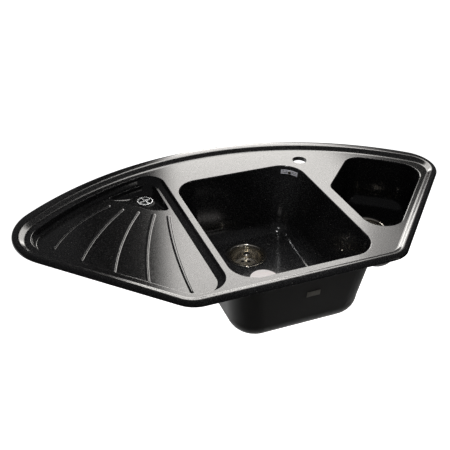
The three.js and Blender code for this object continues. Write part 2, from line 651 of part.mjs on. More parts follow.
// ---- Where the hoses start and end ----
const spigotOut = MAIN_RADIUS + WALL + DUCT_SPIGOT_OUT;
const diagonal = THREE.MathUtils.degToRad(CORNER_DEGREES);
const ductTop = DECK_TOP - WALL - GAP;
const ductBottom = ductTop - DUCT.height;
const overflowSpigot = new THREE.Vector3(
  corner.x + spigotOut * Math.cos(diagonal),
  corner.y + spigotOut * Math.sin(diagonal),
  ductBottom,
);
const sumpSeat = SUMP_FLOOR - SUMP_SEAT.depth;
const sumpUnder = SUMP_SEAT.depth - WALL;
const sumpSpigot = new THREE.Vector3(SUMP_WASTE.x, SUMP_WASTE.y, sumpSeat + sumpUnder - SUMP_BODY.depth);
const degreesTo = (point) =>
  THREE.MathUtils.radToDeg(Math.atan2(point.y - MAIN_WASTE.y, point.x - MAIN_WASTE.x));
const overflowInlet = degreesTo(overflowSpigot);
const sumpInlet = degreesTo(sumpSpigot);

addWasteKit("main", MAIN_WASTE, MAIN_FLOOR, [overflowInlet, sumpInlet]);
addWasteKit("half", HALF_WASTE, HALF_FLOOR, []);

// ---- Grid waste in the sump, about its own axis with zero height at its seat ----
function sumpGrid() {
  const [foot, top] = [GAP, GAP + GRID.thickness];
  const bars = [0, 90].map((turn) =>
    at(box(2 * GRID.radius - GRID.ring, GRID.bar, GRID.thickness), 0, 0, (foot + top) / 2).rotate([0, 0, turn + 20]),
  );
  const whole = union([ringOf(GRID.radius, GRID.radius - GRID.ring, top, foot), disc(5, top, foot, 20), ...bars]);
  return cut(whole, [disc(GRID_SCREW.radius + RUNNING, top + 1, foot - 1, 12)]);
}

function gridScrew() {
  const headFoot = 2 * GAP + GRID.thickness;
  return turned(
    [
      [0, headFoot - GRID_SCREW.length],
      [GRID_SCREW.radius, headFoot - GRID_SCREW.length],
      [GRID_SCREW.radius, headFoot],
      [GRID_SCREW.headRadius, headFoot],
      [GRID_SCREW.headRadius - 1, headFoot + GRID_SCREW.headHeight],
      [0, headFoot + GRID_SCREW.headHeight],
    ],
    12,
  );
}

const SUMP_GASKET = 2;
function sumpBody() {
  const top = sumpUnder - SUMP_GASKET - 2 * GAP;
  const bottom = sumpUnder - SUMP_BODY.depth;
  const inner = SUMP_BODY.radius - SUMP_BODY.wall;
  const shell = turned(
    [
      [inner, top],
      [SUMP_BODY.flange, top],
      [SUMP_BODY.flange, top - 3],
      [SUMP_BODY.radius, top - 3],
      [SUMP_BODY.radius, bottom + 4],
      [HOSE.radius, bottom],
      [SPIGOT.radius, bottom],
      [SPIGOT.radius, bottom - SPIGOT.length],
      [SPIGOT.bore, bottom - SPIGOT.length],
      [SPIGOT.bore, bottom + SUMP_BODY.wall],
      [inner, bottom + 4 + SUMP_BODY.wall],
    ],
    24,
  );
  const bossTop = top - 3;
  const bossHeight = 8;
  const arm = at(box(2 * inner + 1, 2.4, bossHeight), 0, 0, bossTop - bossHeight / 2);
  const whole = union([shell, disc(4.5, bossTop, bossTop - bossHeight, 12), arm, arm.rotate([0, 0, 90])]);
  return cut(whole, [disc(GRID_SCREW.radius + GAP, bossTop + 1, bossTop - bossHeight - 1, 12)]);
}

const sumpPlace = { ...SUMP_WASTE, z: sumpSeat };
addNode("sump_grid", sumpGrid(), CHROME, sumpPlace);
addNode("sump_grid_screw", gridScrew(), CHROME, sumpPlace);
const sumpGasket = ringOf(SUMP_BODY.flange - 1, SUMP_BODY.radius - 1, sumpUnder - GAP, sumpUnder - GAP - SUMP_GASKET, 24);
addNode("sump_gasket", sumpGasket, RUBBER, sumpPlace);
addNode("sump_waste_body", sumpBody(), WHITE_PLASTIC, sumpPlace);

// ---- Overflow: a plate inside the bowl's corner, and a duct behind it ----
const plateOuter = MAIN_RADIUS - PLATE.inset;
const ductInner = MAIN_RADIUS + WALL + 2 * GAP + 1.5;
const ductOuter = ductInner + DUCT.depth;
const radialDisc = (radius, end, start) =>
  disc(radius, end - start, 0, 12).rotate([0, 90, 0]).translate([start, 0, overflowZ]);

function overflowPlate() {
  const top = overflowZ + PLATE.height / 2;
  const inner = plateOuter - PLATE.thickness;
  const plate = cornerSector(plateOuter, inner, PLATE.width, top, top - PLATE.height);
  const slot = (side, z) =>
    at(box(12, PLATE.width / 2 - 12, PLATE.slotHeight), inner - 1, side * (PLATE.width / 4), z);
  const pitch = 2 * PLATE.slotHeight;
  const slots = [-1, 1].flatMap((side) =>
    Array.from({ length: PLATE.slots }, (_, k) => slot(side, overflowZ + (k - (PLATE.slots - 1) / 2) * pitch)),
  );
  return toCorner(cut(plate, [...slots, radialDisc(OVERFLOW_SCREW.radius + RUNNING, plateOuter + 2, inner - 2)]));
}

function overflowGasket() {
  const [inner, outer] = [MAIN_RADIUS + WALL + GAP, ductInner - GAP];
  const frame = cornerSector(outer, inner, DUCT.width, ductTop, ductTop - 16);
  const window = cornerSector(outer + 1, inner - 1, DUCT.width - 2 * DUCT.wall, overflowZ + 4, ductTop - 14);
  return toCorner(cut(frame, [window]));
}

function overflowDuct() {
  const shell = cornerSector(ductOuter, ductInner, DUCT.width, ductTop, ductBottom);
  const hollow = cornerSector(
    ductOuter - DUCT.wall,
    ductInner - 1,
    DUCT.width - 2 * DUCT.wall,
    overflowZ + 4,
    ductTop - 14,
  );
  const shaft = cornerSector(
    ductOuter - DUCT.wall,
    ductInner + DUCT.wall,
    DUCT.width - 2 * DUCT.wall,
    overflowZ + 4,
    ductBottom + DUCT.wall,
  );
  const spigot = (radius, top, bottom) => at(disc(radius, top, bottom, 16), spigotOut, 0);
  const boss = radialDisc(OVERFLOW_SCREW.radius + 2, ductOuter - 0.5, ductInner + 1);
  const whole = union([
    cut(shell, [hollow, shaft]),
    boss,
    spigot(SPIGOT.radius, ductBottom + 1, ductBottom - SPIGOT.length),
  ]);
  return toCorner(
    cut(whole, [
      spigot(SPIGOT.bore, ductBottom + DUCT.wall + 1, ductBottom - SPIGOT.length - 1),
      radialDisc(OVERFLOW_SCREW.radius + GAP, ductOuter - 1.5, ductInner - 1),
    ]),
  );
}

function overflowScrew() {
  const inner = plateOuter - PLATE.thickness;
  const shank = radialDisc(OVERFLOW_SCREW.radius, ductOuter - 2, inner - GAP - 0.1);
  const head = radialDisc(OVERFLOW_SCREW.headRadius, inner - GAP, inner - GAP - OVERFLOW_SCREW.headHeight);
  return toCorner(union([shank, head]));
}

addNode("overflow_plate", overflowPlate(), STEEL);
addNode("overflow_screw", overflowScrew(), STEEL);
addNode("overflow_gasket", overflowGasket(), RUBBER);
addNode("overflow_duct", overflowDuct(), GREY_PLASTIC);

// ---- Hoses, pushed over their spigots at both ends ----
function hose(start, inletAngle, bends) {
  const angle = THREE.MathUtils.degToRad(inletAngle);
  const z = MAIN_FLOOR - WASTE_SEAT.depth + INLET_Z;
  const inletPoint = (reach) =>
    new THREE.Vector3(MAIN_WASTE.x + reach * Math.cos(angle), MAIN_WASTE.y + reach * Math.sin(angle), z);
  const below = (drop) => start.clone().add(new THREE.Vector3(0, 0, -drop));
  const points = [
    below(RUNNING + 1),
    below(SPIGOT.length),
    ...bends.map((bend) => new THREE.Vector3(...bend)),
    inletPoint(BODY_RADIUS + SPIGOT.length + 6),
    inletPoint(BODY_RADIUS + 4),
  ];
  const path = new THREE.CatmullRomCurve3(points, false, "centripetal");
  const ring = new THREE.Shape().absarc(0, 0, HOSE.radius, 0, 2 * Math.PI, false);
  ring.holes.push(new THREE.Path().absarc(0, 0, HOSE.bore, 0, 2 * Math.PI, true));
  return solid(new THREE.ExtrudeGeometry(ring, { steps: 18, extrudePath: path, curveSegments: 7 }));
}

const hoseZ = MAIN_FLOOR - WASTE_SEAT.depth + INLET_Z;
const overflowBends = [
  [overflowSpigot.x, overflowSpigot.y, hoseZ + 75],
  [overflowSpigot.x - 8, overflowSpigot.y - 5, hoseZ + 22],
  [overflowSpigot.x - 40, overflowSpigot.y - 25, hoseZ],
];
const sumpBends = [
  [sumpSpigot.x, sumpSpigot.y, hoseZ + 75],
  [sumpSpigot.x + 10, sumpSpigot.y - 4, hoseZ + 22],
  [sumpSpigot.x + 48, sumpSpigot.y - 17, hoseZ],
];
addNode("overflow_hose", hose(overflowSpigot, overflowInlet, overflowBends), GREY_PLASTIC);
addNode("sump_hose", hose(sumpSpigot, sumpInlet, sumpBends), GREY_PLASTIC);

// ---- Blank paper label on the bowl's floor, and a blank plate on its front wall ----
const labelTop = MAIN_FLOOR + GAP + FLOOR_LABEL.thickness;
addNode("floor_label", disc(FLOOR_LABEL.radius, labelTop, MAIN_FLOOR + GAP), PAPER, FLOOR_LABEL);

function frontPlate() {
  const wallTop = DECK_TOP - WALL;
  const wallFoot = MAIN_FLOOR - BOWL_FLOOR_THICKNESS + MAIN_FOOT.fillet + WALL;
  const lean = Math.atan2(MAIN_TAPER, wallTop - wallFoot);
  const z = RIM_HEIGHT - FRONT_PLATE.below;
  const y = MAIN_FRONT - WALL + (wallTop - z) * Math.tan(lean);
  const plate = at(box(FRONT_PLATE.width, FRONT_PLATE.thickness, FRONT_PLATE.height), 0, -GAP - FRONT_PLATE.thickness / 2);
  return at(plate.rotate([THREE.MathUtils.radToDeg(lean), 0, 0]), FRONT_PLATE.x, y, z);
}
addNode("front_plate", frontPlate(), PAPER);

export default group;
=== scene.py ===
# %% [markdown]
# # A corner kitchen sink in black stone composite
# The sink is one casting of quartz sand in acrylic resin, with a ribbed drainer, a main bowl and a half
# bowl. Metal basket wastes sit in the bowls, and plastic bodies and hoses hang under them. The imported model
# gives every size and place. This notebook builds smooth, close-grained pieces round it and lights them the
# way a catalogue does.

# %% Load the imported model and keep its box
import math

import bmesh
import bpy
from mathutils import Matrix, Vector
from mathutils.bvhtree import BVHTree


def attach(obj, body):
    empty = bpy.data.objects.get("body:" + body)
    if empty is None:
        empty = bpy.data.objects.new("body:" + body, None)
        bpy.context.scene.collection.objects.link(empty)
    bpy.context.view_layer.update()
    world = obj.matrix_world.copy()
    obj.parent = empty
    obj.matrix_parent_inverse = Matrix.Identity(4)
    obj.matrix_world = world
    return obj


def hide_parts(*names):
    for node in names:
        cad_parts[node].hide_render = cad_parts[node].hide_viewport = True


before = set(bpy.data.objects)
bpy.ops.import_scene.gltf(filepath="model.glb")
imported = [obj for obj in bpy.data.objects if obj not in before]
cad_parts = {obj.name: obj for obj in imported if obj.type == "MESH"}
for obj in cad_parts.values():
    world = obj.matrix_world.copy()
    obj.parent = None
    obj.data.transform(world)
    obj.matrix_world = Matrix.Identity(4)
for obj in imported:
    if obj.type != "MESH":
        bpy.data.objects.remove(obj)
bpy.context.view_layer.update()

MM = 0.001
print("packed nodes:", len(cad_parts))

# %% [markdown]
# ## Camera
# The photograph was taken from the front left, with the camera about a metre and a half away. Its place,
# lens and tilt were found by matching the outlines of the rim and the openings. A slight roll turns the
# level lines down to the right, and a small shift stands for the crop of the picture.

# %% Camera at the photograph's angle
IMAGE = 450  # pixels, square
FOCAL = 706.86  # in pixels
PRINCIPAL = (219.12, 224.75)  # where the lens axis meets the picture, in pixels
YAW, PITCH, ROLL = -22.309, 33.074, 1.209  # degrees: heading, downward tilt and roll
PLACE = Vector((-571.5, -946.1, 842.3)) * MM
SENSOR_WIDTH = 36  # mm, the usual full frame

yaw, pitch, roll = (math.radians(v) for v in (YAW, PITCH, ROLL))
forward = Vector((-math.sin(yaw) * math.cos(pitch), math.cos(yaw) * math.cos(pitch), -math.sin(pitch)))
level = Vector((math.cos(yaw), math.sin(yaw), 0))
upright = level.cross(forward)
across = math.cos(roll) * level + math.sin(roll) * upright
up = math.cos(roll) * upright - math.sin(roll) * level

lens = bpy.data.cameras.new("camera")
lens.sensor_width = SENSOR_WIDTH
lens.lens = FOCAL / IMAGE * lens.sensor_width
lens.shift_x = (IMAGE / 2 - PRINCIPAL[0]) / IMAGE
lens.shift_y = (PRINCIPAL[1] - IMAGE / 2) / IMAGE
camera = bpy.data.objects.new("camera", lens)
camera.matrix_world = Matrix.Translation(PLACE) @ Matrix((across, up, -forward)).transposed().to_4x4()
bpy.context.scene.collection.objects.link(camera)
bpy.context.scene.camera = camera
print("lens %.1f mm" % lens.lens)

# %% [markdown]
# ## Materials
# Each material is a Principled shader with a pattern worked out from real sizes. One helper adds a node
# with its settings and links, and another turns an sRGB hex colour into Blender's linear colour.

# %% Helpers for materials
def linear(code):
    """An sRGB hex colour as a linear RGBA tuple."""
    parts = [int(code[i : i + 2], 16) / 255 for i in (1, 3, 5)]
    return tuple(c / 12.92 if c <= 0.04045 else ((c + 0.055) / 1.055) ** 2.4 for c in parts) + (1.0,)


def add(tree, kind, inputs=None, **settings):
    """A node with its settings. An input is a number, a colour, or another node's output."""
    made = tree.nodes.new(kind)
    for name, value in settings.items():
        setattr(made, name, value)
    for key, value in (inputs or {}).items():
        if isinstance(value, bpy.types.NodeSocket):
            tree.links.new(value, made.inputs[key])
        else:
            made.inputs[key].default_value = value
    return made


def ramp(node, stops):
    """Sets a colour ramp's stops from (position, hex colour) pairs."""
    elements = node.color_ramp.elements
    while len(elements) < len(stops):
        elements.new(1.0)
    for element, (position, code) in zip(elements, stops):
        element.position, element.color = position, linear(code)
    return node


def new_material(name):
    """A material with a Principled shader, and where its pattern is measured from, in metres."""
    made = bpy.data.materials.new(name)
    made.use_nodes = True
    tree = made.node_tree
    shader = tree.nodes["Principled BSDF"]
    place = add(tree, "ShaderNodeTexCoord").outputs["Object"]
    return made, tree, shader, place


print("black resin in linear light:", [round(c, 4) for c in linear("#1d1d1f")])

# %% [markdown]
# ### Stone composite
# Quartz sand, 0.1 to 0.6 mm, is cast face down in black acrylic resin, so the face copies the mould: a
# satin skin with a very fine grain. Resin has an IOR near 1.5. The grain is too fine to show from here, so
# it is drawn as grains of about 1.5 mm, in the colour, the roughness and a shallow bump. Single pale grains
# lie a few centimetres apart.

# %% Black stone composite
GRAIN = 1.5  # mm, drawn
FLECK_SPACING = 17.0  # mm between the rare pale grains
FLECK_RADIUS = 0.035  # of that spacing

stone, tree, shader, place = new_material("black_stone_composite")
grain = add(tree, "ShaderNodeTexVoronoi", {"Vector": place, "Scale": 1 / (GRAIN * MM)})
sand = add(tree, "ShaderNodeTexNoise", {"Vector": place, "Scale": 1 / (3 * GRAIN * MM), "Detail": 4.0})
resin = ramp(
    add(tree, "ShaderNodeValToRGB", {"Fac": grain.outputs["Color"]}),
    [(0.0, "#121213"), (0.5, "#212122"), (0.8, "#333334"), (1.0, "#555552")],
)
fleck = add(tree, "ShaderNodeTexVoronoi", {"Vector": place, "Scale": 1 / (FLECK_SPACING * MM)})
is_fleck = add(
    tree,
    "ShaderNodeMapRange",
    {"Value": fleck.outputs["Distance"], 1: FLECK_RADIUS + 0.015, 2: FLECK_RADIUS, 3: 0.0, 4: 0.6},
)
flecked = add(
    tree,
    "ShaderNodeMix",
    {"Factor": is_fleck.outputs["Result"], 6: resin.outputs["Color"], 7: linear("#c4c2bc")},
    data_type="RGBA",
)
tree.links.new(flecked.outputs[2], shader.inputs["Base Color"])
satin = add(tree, "ShaderNodeMapRange", {"Value": sand.outputs["Fac"], 1: 0.3, 2: 0.7, 3: 0.11, 4: 0.16})
tree.links.new(satin.outputs["Result"], shader.inputs["Roughness"])
relief = add(
    tree,
    "ShaderNodeBump",
    {"Height": grain.outputs["Distance"], "Strength": 0.1, "Distance": 0.1 * MM},
)
tree.links.new(relief.outputs["Normal"], shader.inputs["Normal"])
shader.inputs["IOR"].default_value = 1.5
print("grain scale per metre:", round(1 / (GRAIN * MM)))

# %% [markdown]
# ### Stainless steel
# The strainer cup and its basket are deep drawn from 18/8 stainless steel and polished. Drawing leaves
# faint rings, which catch the light as soft streaks. A noise draws them that is stretched sideways: its
# grains are 6 mm wide and 0.5 mm high.

# %% Drawn and polished stainless steel
STREAK_WIDTH, STREAK_HEIGHT = 6, 0.5  # mm

steel, tree, shader, place = new_material("polished_stainless_steel")
stretched = add(
    tree, "ShaderNodeMapping", {"Vector": place, "Scale": (1.0, 1.0, STREAK_WIDTH / STREAK_HEIGHT)}
)
streak = add(
    tree,
    "ShaderNodeTexNoise",
    {"Vector": stretched.outputs["Vector"], "Scale": 1 / (STREAK_WIDTH * MM), "Detail": 5.0},
)
shine = add(tree, "ShaderNodeMapRange", {"Value": streak.outputs["Fac"], 1: 0.3, 2: 0.7, 3: 0.1, 4: 0.24})
tint = ramp(
    add(tree, "ShaderNodeValToRGB", {"Fac": streak.outputs["Fac"]}), [(0.3, "#ddd5c5"), (0.7, "#eeeae2")]
)
drawn = add(
    tree, "ShaderNodeBump", {"Height": streak.outputs["Fac"], "Strength": 0.12, "Distance": 0.1 * MM}
)
tree.links.new(tint.outputs["Color"], shader.inputs["Base Color"])
tree.links.new(shine.outputs["Result"], shader.inputs["Roughness"])
tree.links.new(drawn.outputs["Normal"], shader.inputs["Normal"])
shader.inputs["Metallic"].default_value = 1.0
print("steel's nodes:", len(tree.nodes))

# %% [markdown]
# ### Chrome plate
# The grid in the sump is chrome-plated brass. Chrome is a mirror with a slightly blue tone. Hard water has
# left a thin film on it that dulls it to satin, in spots of about 5 mm.

# %% Chrome plate
WATER_SPOT = 5  # mm

chrome, tree, shader, place = new_material("chrome_plate")
film = add(tree, "ShaderNodeTexNoise", {"Vector": place, "Scale": 1 / (WATER_SPOT * MM), "Detail": 3.0})
dull = add(tree, "ShaderNodeMapRange", {"Value": film.outputs["Fac"], 1: 0.35, 2: 0.75, 3: 0.2, 4: 0.32})
tree.links.new(dull.outputs["Result"], shader.inputs["Roughness"])
tone = ramp(
    add(tree, "ShaderNodeValToRGB", {"Fac": film.outputs["Fac"]}), [(0.3, "#dfe1e3"), (0.7, "#cfd2d5")]
)
tree.links.new(tone.outputs["Color"], shader.inputs["Base Color"])
shader.inputs["Metallic"].default_value = 1.0
print("chrome's nodes:", len(tree.nodes))

# %% [markdown]
# ### Rubber, plastics and paper
# Seals are moulded EPDM rubber with a dull, slightly bloomed face. The waste bodies are injection-moulded
# polypropylene: an orange-peel skin of about 1.5 mm. The hoses and the duct are grey polypropylene. The
# label is plain uncoated paper with fibres of about 1 mm. The plate on the front wall is dull, worn foil.
# The overflow's plate, which looks like steel, is a slightly violet grey, painted paler than its own colour
# to stand in for the light that hardly reaches the bowl's corner.

# %% Rubber, plastics and paper
def moulded(name, stops, pattern, rough, depth, ior):
    """A moulded material: stops colour it by a noise of that size in mm, rough is its range of roughness."""
    made, tree, shader, place = new_material(name)
    skin = add(tree, "ShaderNodeTexNoise", {"Vector": place, "Scale": 1 / (pattern * MM), "Detail": 5.0})
    tone = ramp(add(tree, "ShaderNodeValToRGB", {"Fac": skin.outputs["Fac"]}), stops)
    gloss = add(
        tree,
        "ShaderNodeMapRange",
        {"Value": skin.outputs["Fac"], 1: 0.3, 2: 0.7, 3: rough[0], 4: rough[1]},
    )
    bump = add(
        tree,
        "ShaderNodeBump",
        {"Height": skin.outputs["Fac"], "Strength": 0.25, "Distance": depth * MM},
    )
    tree.links.new(tone.outputs["Color"], shader.inputs["Base Color"])
    tree.links.new(gloss.outputs["Result"], shader.inputs["Roughness"])
    tree.links.new(bump.outputs["Normal"], shader.inputs["Normal"])
    shader.inputs["IOR"].default_value = ior
    return made


rubber = moulded("epdm_rubber", [(0.3, "#161616"), (0.7, "#222222")], 2.0, (0.7, 0.85), 0.1, 1.52)
white_plastic = moulded(
    "white_polypropylene", [(0.3, "#e4e4e0"), (0.7, "#efefeb")], 1.5, (0.36, 0.46), 0.05, 1.49
)
grey_plastic = moulded(
    "grey_polypropylene", [(0.3, "#a9adb0"), (0.7, "#b6babd")], 1.5, (0.4, 0.52), 0.05, 1.49
)
paper = moulded("uncoated_paper", [(0.3, "#efe8e6"), (0.7, "#faf4f2")], 1.0, (0.75, 0.9), 0.05, 1.45)
foil = moulded("worn_foil", [(0.3, "#7b7871"), (0.7, "#99968d")], 4.0, (0.45, 0.6), 0.05, 1.5)
# The overflow plate's slightly violet grey is painted paler than its own colour: painted light for its dim
# corner.
filmed_steel = moulded("filmed_steel", [(0.3, "#dddce4"), (0.7, "#ecebf2")], 6.0, (0.35, 0.5), 0.05, 1.5)
print("materials:", len(bpy.data.materials))

# %% [markdown]
# ## Shaping helpers
# The moulding is drawn the way its plan is: closed loops of straight edges and arcs, moved inwards and
# blended from one height to the next. Every solid is a skin over such rings or a turned profile, and solids
# are joined and cut. The facets of an arc lie within 0.03 mm of it, so no outline shows corners.

# %% Loops of edges and arcs, in millimetres
FACET = 0.03  # mm, how far a facet may lie inside its arc
DEPTH, FRONT_WIDTH, END_ANGLE, BACK_RADIUS = 590, 466, 45, 750
BACK_CENTRE_Y = DEPTH - BACK_RADIUS


def line(x, y, degrees):
    """A straight edge through a point, with the inside on its left."""
    return {"x": x, "y": y, "angle": math.radians(degrees)}


def back_edge(inset):
    """A curved edge that runs parallel to the back of the sink."""
    return {"x": 0, "y": BACK_CENTRE_Y, "radius": BACK_RADIUS - inset}


def end_edge(side, inset):
    """The sink's right end (side 1) or left end (side -1), moved inwards."""
    return line(side * (FRONT_WIDTH / 2 - inset / math.sin(math.radians(END_ANGLE))), 0, side * END_ANGLE)


def corner_centre(before, after, radius):
    """The centre of the arc of this radius that rounds the corner between two edges."""
    straight, other = (after, before) if "radius" in before else (before, after)

    def moved(edge):
        return edge["x"] - math.sin(edge["angle"]) * radius, edge["y"] + math.cos(edge["angle"]) * radius

    px, py = moved(straight)
    ux, uy = math.cos(straight["angle"]), math.sin(straight["angle"])
    if "radius" not in other:
        qx, qy = moved(other)
        vx, vy = math.cos(other["angle"]), math.sin(other["angle"])
        along = ((qx - px) * vy - (qy - py) * vx) / (ux * vy - uy * vx)
    else:
        dx, dy = px - other["x"], py - other["y"]
        half = dx * ux + dy * uy
        root = math.sqrt(half**2 - dx**2 - dy**2 + (other["radius"] - radius) ** 2)
        along = -half + (-root if "radius" in before else root)
    return px + along * ux, py + along * uy


def arc(centre, radius, start, end, own):
    """An arc of a loop. One that doesn't own its ends shares them with the corners beside it."""
    sweep = (end - start) % (2 * math.pi)
    steps = max(2, math.ceil(sweep / (2 * math.acos(1 - FACET / radius))))
    shape = {"x": centre[0], "y": centre[1], "radius": radius, "start": start, "sweep": sweep}
    return {**shape, "steps": steps, "own": own}


def loop_of(edges, radii):
    """A loop as arcs. radii[i] rounds the corner between edges[i] and the edge after it."""
    count = len(edges)
    centres = [corner_centre(edges[i], edges[(i + 1) % count], radii[i]) for i in range(count)]

    def facing(edge, centre):
        if "radius" in edge:
            return math.atan2(centre[1] - edge["y"], centre[0] - edge["x"])
        return edge["angle"] - math.pi / 2

    arcs = []
    for i, edge in enumerate(edges):
        if "radius" in edge:
            start, end = facing(edge, centres[i - 1]), facing(edge, centres[i])
            arcs.append(arc((edge["x"], edge["y"]), edge["radius"], start, end, False))
        following = edges[(i + 1) % count]
        arcs.append(arc(centres[i], radii[i], facing(edge, centres[i]), facing(following, centres[i]), True))
    return arcs


def blend(first, second, share):
    """A loop between two of the same kind, or beyond them, with the first one's point count."""
    mixed = []
    for a, b in zip(first, second):
        values = {key: a[key] + (b[key] - a[key]) * share for key in ("x", "y", "radius", "start", "sweep")}
        mixed.append({**a, **values})
    return mixed


def ring(loop, inset, z):
    """The loop's points, moved inwards, at one height."""
    points = []
    for part in loop:
        radius = max(part["radius"] - inset, 0.5)
        first = 0 if part["own"] else 1
        for k in range(first, part["steps"] + 1 - first):
            turn = part["start"] + part["sweep"] * k / part["steps"]
            points.append((part["x"] + radius * math.cos(turn), part["y"] + radius * math.sin(turn), z))
    return points


def rim_line(front, end, back, radii):
    """A line of the rim's section: how far it lies inside the outer edge and how round its corners are."""
    return loop_of([line(0, front, 0), end_edge(1, end), back_edge(back), end_edge(-1, end)], radii)


outline = rim_line(0, 0.3, 0.15, [64, 86, 125, 64])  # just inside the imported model's facets
print("points round the outer edge:", len(ring(outline, 0, 0)))

# %% [markdown]
# ### From rings to solids
# A skin closes a stack of rings into a solid, and a turned piece is a profile spun about an upright axis,
# as on a lathe. Solids are joined and cut with the Manifold solver, which is fast and leaves no holes.
# Dressing a piece shades it smooth with its sharp edges kept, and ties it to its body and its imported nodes.

# %% Solids from rings and from turned profiles
def mesh_object(name, points, faces):
    """A mesh object of points in millimetres."""
    mesh = bpy.data.meshes.new(name)
    mesh.from_pydata([(x * MM, y * MM, z * MM) for x, y, z in points], [], faces)
    made = bpy.data.objects.new(name, mesh)
    bpy.context.scene.collection.objects.link(made)
    return made


def skin(name, rings):
    """A closed skin over rings of equal count, from the top ring down."""
    count = len(rings[0])
    faces = [tuple(range(count)), tuple(reversed(range((len(rings) - 1) * count, len(rings) * count)))]
    for level in range(len(rings) - 1):
        upper, lower = level * count, (level + 1) * count
        for k in range(count):
            following = (k + 1) % count
            faces.append((upper + k, lower + k, lower + following, upper + following))
    return mesh_object(name, [point for one in rings for point in one], faces)


def turned(name, profile, place=(0, 0, 0), segments=96):
    """A solid turned about Z from a closed profile of (radius, height), drawn anticlockwise."""
    points, rows = [], []
    for radius, z in profile:
        size = 1 if radius == 0 else segments
        rows.append([len(points) + k for k in range(size)])
        for k in range(size):
            turn = 2 * math.pi * k / segments
            x, y = radius * math.cos(turn), radius * math.sin(turn)
            points.append((place[0] + x, place[1] + y, place[2] + z))
    faces = []
    for lower, upper in zip(rows, rows[1:] + rows[:1]):
        if len(lower) == len(upper) == 1:
            continue
        for k in range(segments):
            after = (k + 1) % segments
            below = [lower[k % len(lower)], lower[after % len(lower)]]
            above = [upper[after % len(upper)], upper[k % len(upper)]]
            faces.append(tuple(dict.fromkeys(below + above)))
    return mesh_object(name, points, faces)


def eased(profile, radii, steps=4, closed=True):
    """A profile with rounded corners: radii[i] is how far from corner i its round starts, or 0."""
    result = []
    count = len(profile)
    for i, (corner, size) in enumerate(zip(profile, radii)):
        if not size or (not closed and i in (0, count - 1)):
            result.append(corner)
            continue
        here = Vector(corner)
        before, after = Vector(profile[i - 1]) - here, Vector(profile[(i + 1) % count]) - here
        start = here + before.normalized() * min(size, before.length * 0.48)
        end = here + after.normalized() * min(size, after.length * 0.48)
        for k in range(steps + 1):
            t = k / steps
            result.append(tuple(start * (1 - t) ** 2 + here * 2 * t * (1 - t) + end * t**2))
    return result


def combine(base, others, operation="DIFFERENCE"):
    """base with the others joined on or cut out. The others are used up."""
    for other in others:
        step = base.modifiers.new(operation, "BOOLEAN")
        step.operation, step.object, step.solver = operation, other, "MANIFOLD"
    shape = bpy.data.meshes.new_from_object(base.evaluated_get(bpy.context.evaluated_depsgraph_get()))
    base.modifiers.clear()
    old, base.data = base.data, shape
    bpy.data.meshes.remove(old)
    for other in others:
        bpy.data.meshes.remove(other.data)
    if not shape.polygons:
        raise ValueError(base.name + " is empty after " + operation)
    return base


def dress(made, material, body, *nodes, angle=32):
    """Smooth faces with sharp edges kept, a material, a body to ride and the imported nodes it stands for."""
    shape = bmesh.new()
    shape.from_mesh(made.data)
    bmesh.ops.remove_doubles(shape, verts=shape.verts, dist=0.004 * MM)
    bmesh.ops.dissolve_degenerate(shape, dist=0.004 * MM, edges=shape.edges)
    bmesh.ops.recalc_face_normals(shape, faces=shape.faces)
    shape.to_mesh(made.data)
    shape.free()
    made.data.materials.clear()
    made.data.materials.append(material)
    made.data.shade_smooth()
    made.data.set_sharp_from_angle(angle=math.radians(angle))
    weighted = made.modifiers.new("weighted_normals", "WEIGHTED_NORMAL")
    weighted.keep_sharp = True
    weighted.weight = 100
    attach(made, body)
    if nodes:
        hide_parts(*nodes)
    print(made.name, len(made.data.polygons), "faces")
    return made


# %% [markdown]
# ## The moulding
# The rim rises 10 mm from the worktop. Its outer side rolls over in a quarter round, and on its inner side
# a slope drops 6 mm to the deck. Bowls, drainer and sump are pressed into the mould from above, so each has
# a rounded lip, a slight taper and a rounded foot. Below, the moulding is as thick as the mould's gap: 10
# mm, and 12 mm under a bowl.

# %% Levels and lines of the moulding
RIM_HEIGHT, RIM_EDGE_HEIGHT, RIM_RELIEF, DECK_DROP = 10, 3.5, 1.5, 6
WALL, REST_WIDTH, LIP_RADIUS, BOWL_FLOOR_THICKNESS = 10, 28, 3, 12
DECK_TOP = RIM_HEIGHT - DECK_DROP
DRAINER_FLOOR = DECK_TOP - 16
SUMP_FLOOR = DRAINER_FLOOR - 18
MAIN_FLOOR, HALF_FLOOR = RIM_HEIGHT - 180, RIM_HEIGHT - 128
MAIN_RADIUS, MAIN_TAPER, HALF_TAPER = 55, 17, 10
WASTE_SEAT_DEPTH = 3
MAIN_WASTE, HALF_WASTE, SUMP_WASTE, TAP_HOLE = (32, 343), (329, 281), (-190.5, 448.5), (220, 455)

crest = rim_line(13, 11, 14, [52, 74, 106, 52])
ridge = rim_line(16, 14, 26, [49, 60, 92, 49])
deck = rim_line(25, 23, 43.5, [40, 44, 79, 40])


# Where the openings' edges lie: from the sink's own edges, or in the plan, or as a point and an angle.
DRAINER_EDGES = {"front": 36, "right": -138, "back": 58, "end": 38}
SUMP_EDGES = {"right": -157.5, "back": 71.5, "left": (-240, 421, -46), "front": (-182, 371.5, -21)}
MAIN_EDGES = {"front": 43.5, "right": 198.5, "back": 446, "left": -121}
HALF_EDGES = {"end": 36, "back": 65, "splay": 81, "left": 229}


def drainer_loop(front, right, back, end, radii):
    at = DRAINER_EDGES
    edges = [line(0, at["front"] + front, 0), line(at["right"] - right, 0, 90)]
    return loop_of([*edges, back_edge(at["back"] + back), end_edge(-1, at["end"] + end)], radii)


def moved_line(x, y, degrees, inset):
    """A straight edge, moved inwards."""
    angle = math.radians(degrees)
    return line(x - math.sin(angle) * inset, y + math.cos(angle) * inset, degrees)


def sump_loop(right, back, left, front, radii):
    at = SUMP_EDGES
    steep = [line(at["right"] - right, 0, 90), back_edge(at["back"] + back)]
    return loop_of([*steep, moved_line(*at["left"], left), moved_line(*at["front"], front)], radii)


